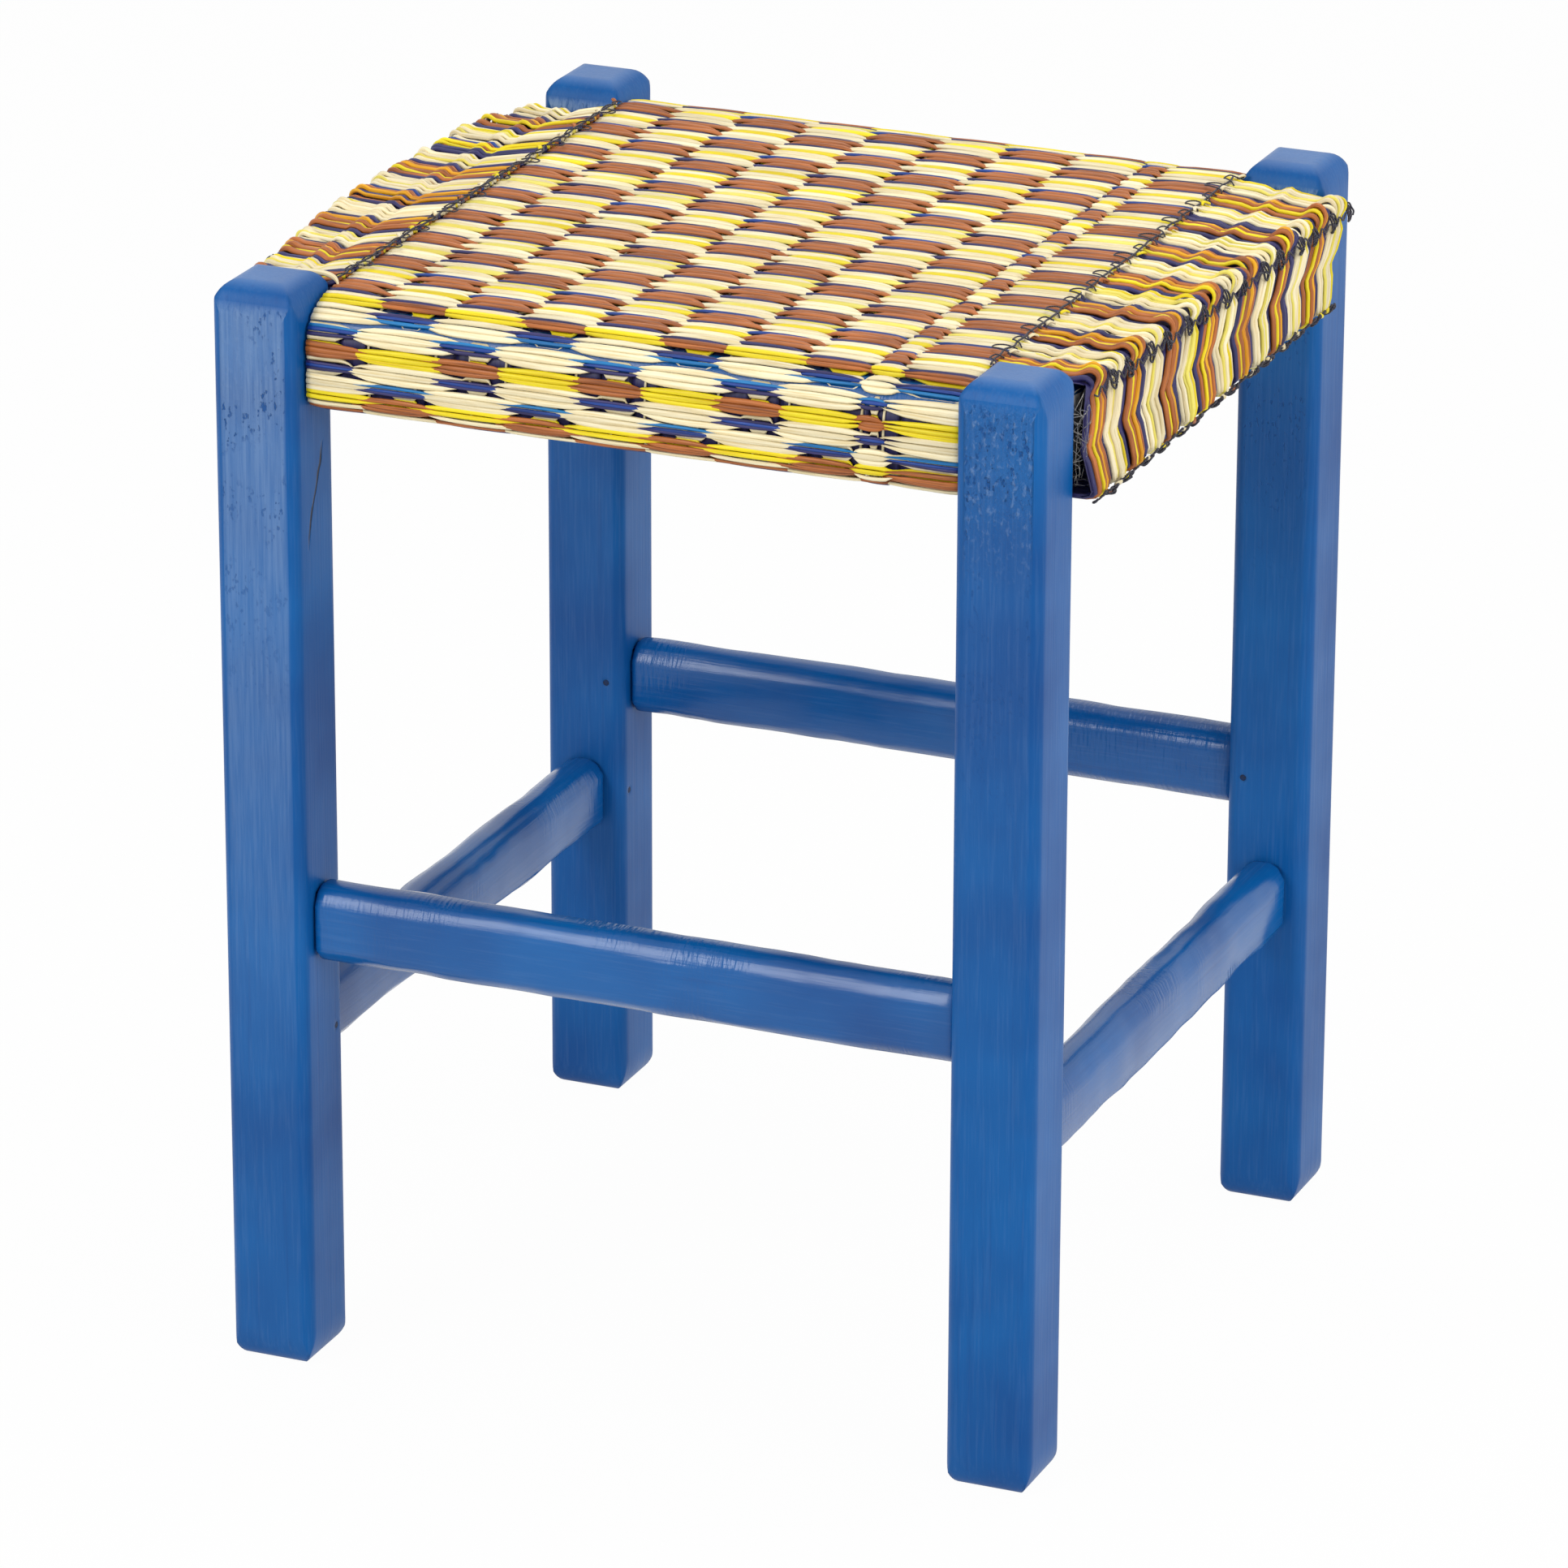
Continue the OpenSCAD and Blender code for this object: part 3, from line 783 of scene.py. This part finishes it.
def woven_side(side, groups):
    """A panel's strips from its seam, over the fold, down the flap and under the rail."""
    for strips, start, stop in groups:
        middle, proud = (start + stop) / 2, rng.uniform(0.5, 1.3) * (1.0 if side > 0 else 0.55)
        for colour, share, width in strips:
            marks = panel_profile(side, share)[3]
            fold, hem = marks["fold"], marks["hem"]
            stops = [0, fold - 8 * MM, fold + 9 * MM, hem - 6 * MM, marks["end"]]
            spans = zip(stops, stops[1:], (18, 17, 12, 14))
            v = np.unique(np.concatenate([np.linspace(*span) for span in spans]))
            y = panel_shift(side, share, v, marks)
            centre = panel_shift(side, middle, v, marks)
            pinch = 0.34 * bump_at(v, fold + TIE_BELOW_FOLD, 6 * MM) + 0.24 * bump_at(v, hem, 6 * MM)
            pinch = pinch + 0.10 * bump_at(v, marks["rib"] - 2 * MM, 5 * MM) + 0.04
            y = y + (centre - y) * pinch + slow_noise(len(v), 6, 0.55 * MM, 1)[:, 0]
            crown = 1 - min(1, abs(share - middle) / (stop - start) * 2) ** 2
            crest = fold + rng.normal(-2.5, 1.2) * MM
            lift = 3.8 * MM * proud * rng.uniform(0.5, 1.2) * bump_at(v, crest, 6 * MM) * (0.2 + 0.8 * crown)
            for mark, past, height, half_width in RIDGES:
                lift = lift + height * MM * bump_at(v, marks[mark] + past * MM, half_width * MM)
            lift = lift + 1.2 * MM * crown - 1.6 * MM + rng.normal(0, 0.45 * MM)
            lift = np.where(v < 5 * MM, lift * v / (5 * MM) - 0.4 * MM, lift)
            size = width * (0.96 - 0.85 * pinch) * rng.uniform(0.9, 1.06)
            thick = PANEL_T * min(1, 0.5 + width / (6 * MM))
            yield panel_strip(side, share, v, y, lift, size, thick, colour)
    yield from panel_shade_lining(side)


def panel_shade_lining(side):
    """Flat dark strips behind a panel's straws: painted shade, a dark sheet that stands in for the shade seen
    through the small openings between its groups.
    """
    count = 3 * GROUPS
    wide = 2.2 * PANEL_Y / count
    for share in (np.arange(count) + 0.5) / count:
        marks = panel_profile(side, share)[3]
        v = np.linspace(0, marks["end"], 40)
        y, lift = panel_shift(side, share, v, marks), np.full(len(v), PANEL_SHADE_LINING_HEIGHT)
        yield panel_strip(side, share, v, y, lift, wide, SHADE_LINING_T, "navy", 0.0, PANEL_SHADE_LINING_CLEAR)


# ---- planed stretchers


TENON_L, TENON_SIZE = 24 * MM, np.array([12, 25]) * MM
SHOULDER_GAP = 0.15 * MM
FACET_EASE = 0.45 * MM


def stretcher_outline(size, wander):
    """A stretcher's section, with each planed facet's edges moved a little by wander."""
    half_t, half_h = size[0] / 2, size[1] / 2
    crown, shallow, drop, steep, low = 3.0 * MM, 7.0 * MM, 2.2 * MM, 5.4 * MM, 4.5 * MM

    def flank(w):
        """The corners of the right side, from the bottom up."""
        return [
            (half_t - low - w[0], -half_h),
            (half_t, low - half_h + w[1]),
            (half_t, half_h - drop - steep - w[2]),
            (shallow + 0.5 * w[3], half_h - drop + 0.35 * w[4]),
            (crown + w[5], half_h),
        ]

    left = [(-x, z) for x, z in reversed(flank(wander[[11, 10, 9, 7, 8, 6]]))]
    corners = np.array(flank(wander[:6]) + left)
    eased = []
    for n, corner in enumerate(corners):
        for other in (corners[n - 1], corners[(n + 1) % len(corners)]):
            towards = other - corner
            eased.append(corner + towards / np.linalg.norm(towards) * FACET_EASE)
    return np.array(eased)


def planed_stretcher(node, axis, material):
    """A stretcher with facets left uneven by the plane, and its tenons."""
    low, high = (np.array(c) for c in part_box(node))
    middle = (low + high) / 2
    size = (min(high - low), high[2] - low[2])
    half = (high[axis] - low[axis]) / 2 - TENON_L - SHOULDER_GAP
    count, soft = 150, 3 * MM
    start = soft * (1 - np.cos(np.linspace(0, math.pi / 2, 6)[:-1])) - half
    t = np.concatenate([start, np.linspace(-half + soft, half - soft, count - 10), -start[::-1]])
    wander = slow_noise(count, 12, 0.5 * MM, 12) + slow_noise(count, 4, 0.14 * MM, 12)
    hollow = slow_noise(count, 9, 0.12 * MM, 2)
    tenon_section = stretcher_outline(size, np.zeros(12)) * (TENON_SIZE / size)
    rings = []
    for n, place in enumerate(t):
        inset = soft - math.sqrt(max(0, soft**2 - max(0, abs(place) - half + soft) ** 2))
        shrink = 1 - inset / (np.array(size) / 2)
        rings.append(stretcher_outline(size, wander[n]) * shrink + hollow[n])
    ends = [tenon_section] * 2
    places, vertices = [-half - TENON_L, -half, *t, half, half + TENON_L], []
    for section, place in zip(ends + rings + ends, places):
        for across, height in section:
            point = [across, across, height]
            point[axis] = place
            vertices.append(tuple(middle + point))
    return lofted(f"planed_{node}", vertices, len(tenon_section), material)


def lofted(name, vertices, ring, material):
    """A closed mesh through a run of sections, each a ring of that many points."""
    count = len(vertices) // ring
    faces = [
        [n * ring + j, n * ring + (j + 1) % ring, (n + 1) * ring + (j + 1) % ring, (n + 1) * ring + j]
        for n in range(count - 1)
        for j in range(ring)
    ]
    faces += [list(range(ring)), [(count - 1) * ring + j for j in range(ring)]]
    mesh = bpy.data.meshes.new(name)
    mesh.from_pydata(vertices, [], faces)
    work = bmesh.new()
    work.from_mesh(mesh)
    bmesh.ops.recalc_face_normals(work, faces=work.faces)
    work.to_mesh(mesh)
    work.free()
    mesh.polygons.foreach_set("use_smooth", [True] * len(mesh.polygons))
    return new_object(name, mesh, [material])


# ---- padding


def edge_padding(side, name, material):
    """Lumpy stuffing between a side rail and its flap."""
    low, high = (np.array(c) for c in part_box(f"edge_padding_{name}"))
    inner, outer = sorted(abs(np.array([low[0], high[0]])))
    count, ring, vertices = 60, 28, []
    for n, y in enumerate(np.linspace(low[1] + 1 * MM, high[1] - 1 * MM, count)):
        share = n / (count - 1)
        reach = outer + min(0.0, np.interp(share, *SWELL[side][:2])) * MM - 1 * MM
        end = 1 - 0.30 * (1 - ease(min(share, 1 - share) / 0.05))
        middle = np.array([(inner + reach) / 2, (low[2] + high[2]) / 2])
        half = np.array([(reach - inner) / 2 - 0.8 * MM, (high[2] - low[2]) / 2 - 1 * MM])
        for a in np.arange(ring) / ring * 2 * math.pi:
            square = np.array([math.cos(a), math.sin(a)])
            square /= (abs(square[0]) ** 5 + abs(square[1]) ** 5) ** 0.2
            lump = 0.5 + 0.25 * math.sin(5 * a + 31 * share) + 0.25 * math.sin(3 * a - 67 * share + 2)
            x, z = middle + square * half * end * (1 - 0.16 * lump)
            vertices.append((side * x, y, z))
    return lofted(f"edge_stuffing_{name}", vertices, ring, material)


def loose_fibres(name):
    """Curved hairs that stand out of the stuffing's open ends and lie along its faces."""
    low, high = (np.array(c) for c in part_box(f"edge_padding_{name}"))
    for n in range(130):
        end, inwards = (low[1], 1) if n % 2 else (high[1], -1)
        start = np.array([
            rng.uniform(low[0] + 2 * MM, high[0] - 2 * MM),
            end + inwards * abs(rng.normal(1, 5)) * MM,
            rng.uniform(low[2] + 2 * MM, high[2] - 2 * MM),
        ])
        step = rng.normal(0, 3.2 * MM, 3)
        path = [start]
        for _ in range(4):
            step = step + rng.normal(0, 1.6 * MM, 3)
            point = np.clip(path[-1] + step, low + 0.5 * MM, high - 0.5 * MM)
            if np.linalg.norm(point - path[-1]) < 0.3 * MM:
                point = path[-1] + np.array([0, inwards * 0.8 * MM, 0])
            path.append(point)
        yield cord_strand(path, rng.uniform(0.2, 0.42) * MM, per_span=3, taper=True)


# ---- stitching

THREAD_D = 0.75 * MM
# A seam loop's points: the share of its reach, to the panel or (below 0) to the mat, then mm along Y and up
SEAM_LOOP = [
    (1, -3, -0.8), (0.4, -1.5, 0.5), (-0.6, 0, 0.9), (-1, 1.0, 0.6), (-1, 4.5, 0.5), (-0.3, 5.2, 0.8),
    (0.8, 6, -0.5),
]


def on_panel(side, share, v, shape, diameter):
    """A cord on a panel, from points given as (along Y, along the profile, raised) in mm."""
    y = panel_shift(side, share, np.array([v]), panel_profile(side, share)[3])[0]
    shape = smooth_path(shape, 5) * MM
    points, _ = panel_points(side, share, v + shape[:, 1], y + shape[:, 0], shape[:, 2])
    return cord_strand(points, diameter, per_span=1)


def ring_shape(width, length, lift, turns=1.12):
    """A wound loop of thread round a bundle, in mm."""
    start, count = 0.4, 12
    angles = np.linspace(start, start + 2 * math.pi * turns, count)
    jitter = rng.normal(0, 0.25, (count, 3))
    return np.column_stack([
        width / 2 * np.cos(angles), length / 2 * np.sin(angles), lift + 0.5 * np.abs(np.cos(angles)),
    ]) + jitter


def wavy_run(sway, pace, jitter, lift):
    """A thread that sways to either side as it crosses a group, in mm."""
    return [(t * 10.0, sway * math.sin(t * pace) + rng.normal(0, jitter), lift)
            for t in np.linspace(-1, 1, 6)]


def stitches(side, groups):
    """Thread along a seam, loops that tie each group at the fold, and knots along the hem."""
    x, z = side * (SEAM_X + 0.2 * MM), SEAT_Z + 0.5 * MM
    reach = LEG_INNER - 2 * MM
    line = [(x + rng.normal(0, 0.5 * MM), y, z + abs(rng.normal(0, 0.25 * MM)))
            for y in np.arange(-reach, reach, 6 * MM)]
    yield cord_strand(line, THREAD_D * 1.15)
    for n, y in enumerate(np.arange(-reach + 5 * MM, reach - 6 * MM, 13 * MM)):
        y = y + rng.normal(0, 0.8 * MM)
        inward = -side * rng.uniform(4.5, 6.5) * MM * (1.0 if n % 2 else 0.45)
        outward = side * rng.uniform(2, 3.5) * MM
        loop = [
            (x + share * (outward if share > 0 else -inward), y + along * MM, z + raised * MM)
            for share, along, raised in SEAM_LOOP
        ]
        yield cord_strand(loop, THREAD_D * 0.85)
    for _, start, stop in groups:
        marks, middle = panel_profile(side, stop)[3], (start + stop) / 2
        tie, hem = marks["fold"] + TIE_BELOW_FOLD, marks["hem"]
        yield on_panel(side, stop, tie, ring_shape(4.2, 7.0, 0.3), 0.9 * MM)
        yield on_panel(side, stop, tie - 1 * MM, ring_shape(3.0, 5.0, 0.7), 0.8 * MM)
        yield on_panel(side, middle, tie, wavy_run(1.5, 9, 0.5, 0.7), 0.8 * MM)
        yield on_panel(side, middle, hem - 1 * MM, wavy_run(2.0, 7, 0.6, 0.9), 0.85 * MM)
        yield on_panel(side, stop, hem, ring_shape(4.2, 5.5, 1.3), 0.95 * MM)
        yield on_panel(side, stop, hem + 1 * MM, ring_shape(2.4, 3.0, 1.7, 2), 0.9 * MM)
        tail = [(0, 0, 1.4), (rng.normal(0, 2), 3, 1.8), (rng.normal(0, 3), 6, 1.2)]
        yield on_panel(side, stop, hem, tail, 0.8 * MM)


def straw_ends(side, groups):
    """Short straw ends caught in the seam and in the hem's knots."""
    for _, _, stop in groups:
        marks = panel_profile(side, stop)[3]
        for v, size in ((marks["hem"] - 1 * MM, 1.0), (marks["hem"] + 2 * MM, 0.8), (1.5 * MM, 0.5)):
            share = stop + rng.normal(0, 0.008)
            y = panel_shift(side, share, np.array([v]), marks)[0]
            run = [(-3 * size, -1, 0.6), (0, rng.normal(0, 1), 1.7), (4 * size, 1.5, 0.9)]
            y_run, v_run, lift = (smooth_path(run, 4) * MM).T
            colour = rng.choice(["cream", "yellow", "brown", "cream"])
            yield panel_strip(side, share, v + v_run, y + y_run, lift, 1.9 * MM, 0.9 * MM, colour)


# ---- stage

FILL_LIGHT = 0.62  # the background's light on the stool, where 1 is white
FLOOR_GLOW = 0.97  # how much of the floor's look is plain white, which leaves a faint shadow


def seen_rays(tree):
    """1 for a ray that shows the background: from the camera, or from gloss or glass."""
    path = tree.nodes.new("ShaderNodeLightPath").outputs
    total = path["Is Camera Ray"]
    for kind in ("Is Glossy Ray", "Is Transmission Ray"):
        total = add_node(tree, "ShaderNodeMath", {0: total, 1: path[kind]}, operation="MAXIMUM")
    return total


def studio():
    """A white floor that can't be seen from below, a white background and three soft lights."""
    size = 12.0
    floor_mesh = bpy.data.meshes.new("floor")
    corners = [(-size, -size, 0), (size, -size, 0), (size, size, 0), (-size, size, 0)]
    floor_mesh.from_pydata(corners, [], [(0, 1, 2, 3)])
    shader = Shader("floor", Base_Color=srgb(232, 232, 230), Roughness=0.9)
    glow = shader.add("Emission", {"Color": WHITE, "Strength": 1.0})
    share = shader.product(seen_rays(shader.tree), FLOOR_GLOW)
    blended = shader.add("MixShader", {0: share, 1: shader.surface.outputs[0], 2: glow})
    below = shader.add("NewGeometry", {}, output="Backfacing")
    clear = shader.add("BsdfTransparent", {"Color": WHITE})
    seen = shader.add("MixShader", {0: below, 1: blended, 2: clear})
    put(shader.tree, shader.tree.nodes["Material Output"].inputs["Surface"], seen)
    new_object("floor", floor_mesh, [shader.material])

    world = bpy.data.worlds.new("studio")
    bpy.context.scene.world = world
    world.use_nodes = True
    tree = world.node_tree
    levels = {"Value": seen_rays(tree), "To Min": FILL_LIGHT, "To Max": 1.0}
    background = tree.nodes["Background"].inputs
    put(tree, background["Strength"], add_node(tree, "ShaderNodeMapRange", levels))
    put(tree, background["Color"], WHITE)

    softbox("softbox_front_left", (-0.75, -1.70, 1.30), (0, 0, 0.30), 0.75, 13.0)
    softbox("softbox_top", (0.2, 0.3, 2.0), (0, 0, 0.4), 1.1, 9.0)
    softbox("softbox_right", (1.6, -0.6, 0.9), (0, 0, 0.30), 1.0, 10.0)


def softbox(name, place, target, size, power):
    data = bpy.data.lights.new(name, "AREA")
    data.shape = "SQUARE"
    data.size = size
    data.energy = power
    obj = new_object(name, data)
    obj.location = place
    obj.rotation_euler = (Vector(target) - Vector(place)).to_track_quat("-Z", "Y").to_euler()


def camera():
    data = bpy.data.cameras.new("camera")
    data.sensor_width = 36
    data.lens = 194.386
    obj = new_object("camera", data)
    obj.location = (1.26156, -3.00345, 1.44746)
    aim = Euler((math.pi / 2 - 0.36157, 0, 0.39884)).to_matrix()
    obj.rotation_euler = (aim @ Matrix.Rotation(0.00335, 3, "Z")).to_euler()
    bpy.context.scene.camera = obj
    bpy.context.scene.view_settings.view_transform = "Standard"


# ---- putting it together


def finish_node(name, material):
    obj = nodes[name]
    obj.data.materials.clear()
    obj.data.materials.append(material)


def worn_ends(foot=6 * MM, foot_gain=8 * MM, top=9 * MM, top_gain=5 * MM):
    """A modifier's nodes, which draw the roundings at a leg's foot and top further along the leg."""
    group = bpy.data.node_groups.new("worn_ends", "GeometryNodeTree")
    for way in ("INPUT", "OUTPUT"):
        group.interface.new_socket("Geometry", in_out=way, socket_type="NodeSocketGeometry")

    def combine(operation, first, second):
        return add_node(group, "ShaderNodeMath", {0: first, 1: second}, operation=operation)

    entry = add_node(group, "NodeGroupInput", {})
    position = add_node(group, "GeometryNodeInputPosition", {})
    height = add_node(group, "ShaderNodeSeparateXYZ", {0: position}, 2)
    low = combine("LESS_THAN", height, foot + 0.1 * MM)
    high = combine("GREATER_THAN", height, LEG_TOP - top - 0.1 * MM)
    rise = combine("MULTIPLY", combine("MULTIPLY", height, foot_gain / foot), low)
    below = combine("SUBTRACT", height, LEG_TOP)
    fall = combine("MULTIPLY", combine("MULTIPLY", below, top_gain / top), high)
    offset = add_node(group, "ShaderNodeCombineXYZ", {2: combine("ADD", rise, fall)})
    moved = add_node(group, "GeometryNodeSetPosition", {0: entry, 3: offset})
    add_node(group, "NodeGroupOutput", {0: moved})
    return group


def place_piece(piece, slot, *replaced):
    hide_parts(*replaced)
    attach(piece, "root")


camera()
studio()

straws = [straw(f"straw_{name}", *colours) for name, colours in STRAWS.items()]
dark_thread = thread("dark_thread")
stuffing = padding_fibre("fibre_padding", srgb(14, 14, 24), srgb(132, 124, 114))
hairs = padding_fibre("loose_fibre", srgb(96, 92, 92), srgb(196, 190, 180))
steel = nail_steel("nail_steel")
# haze sets each leg's painted sheen, strongest on the front left leg
leg_paint = {
    "leg_front_left": painted_wood("front_left_leg_paint", 2, painted_sheen=0.39, wrinkle=0.3, crack=True),
    "leg_front_right": painted_wood("crinkled_leg_paint", 2, painted_sheen=0.05, wrinkle=1.0),
    "leg_back_left": painted_wood("back_left_leg_paint", 2, painted_sheen=0.1, band=0.8),
    "leg_back_right": painted_wood("back_right_leg_paint", 2, painted_sheen=0.05, band=0.8),
}
ends = worn_ends()
for name, paint in leg_paint.items():
    finish_node(name, paint)
    nodes[name].modifiers.new("worn_ends", "NODES").node_group = ends
for axis, (kind, names) in enumerate((("cross", ("front", "back")), ("side", ("left", "right")))):
    paint = painted_wood(f"{kind}_paint", axis, (0.15, 0.24), 0.4, chatter=0.7)
    finish_node(f"{kind}_stretcher_nails", steel)
    for name in names:
        finish_node(f"seat_rail_{name}", paint)
        place_piece(planed_stretcher(f"stretcher_{name}", axis, paint), "painted_wood", f"stretcher_{name}")

for piece in woven_mat(straws):
    place_piece(piece, "woven_straw", "woven_mat")

for side, hand in HANDS.items():
    groups = list(panel_groups())
    weave = strand_mesh(f"side_weave_{hand}", woven_side(side, groups), straws)
    place_piece(weave, "woven_straw", f"woven_side_{hand}")
    caught = strand_mesh(f"straw_ends_{hand}", straw_ends(side, groups), straws)
    place_piece(caught, "woven_straw", f"woven_side_{hand}")
    pad = edge_padding(side, hand, stuffing)
    place_piece(pad, "fibre_padding", f"edge_padding_{hand}")
    loose = strand_mesh(f"edge_fibres_{hand}", loose_fibres(hand), [hairs], ROUND[::2])
    place_piece(loose, "fibre_padding", f"edge_padding_{hand}")
    sewn = strand_mesh(f"stitches_{hand}", stitches(side, groups), [dark_thread], ROUND)
    place_piece(sewn, "dark_thread", *(f"{kind}_stitches_{hand}" for kind in ("seam", "fold", "hem")))
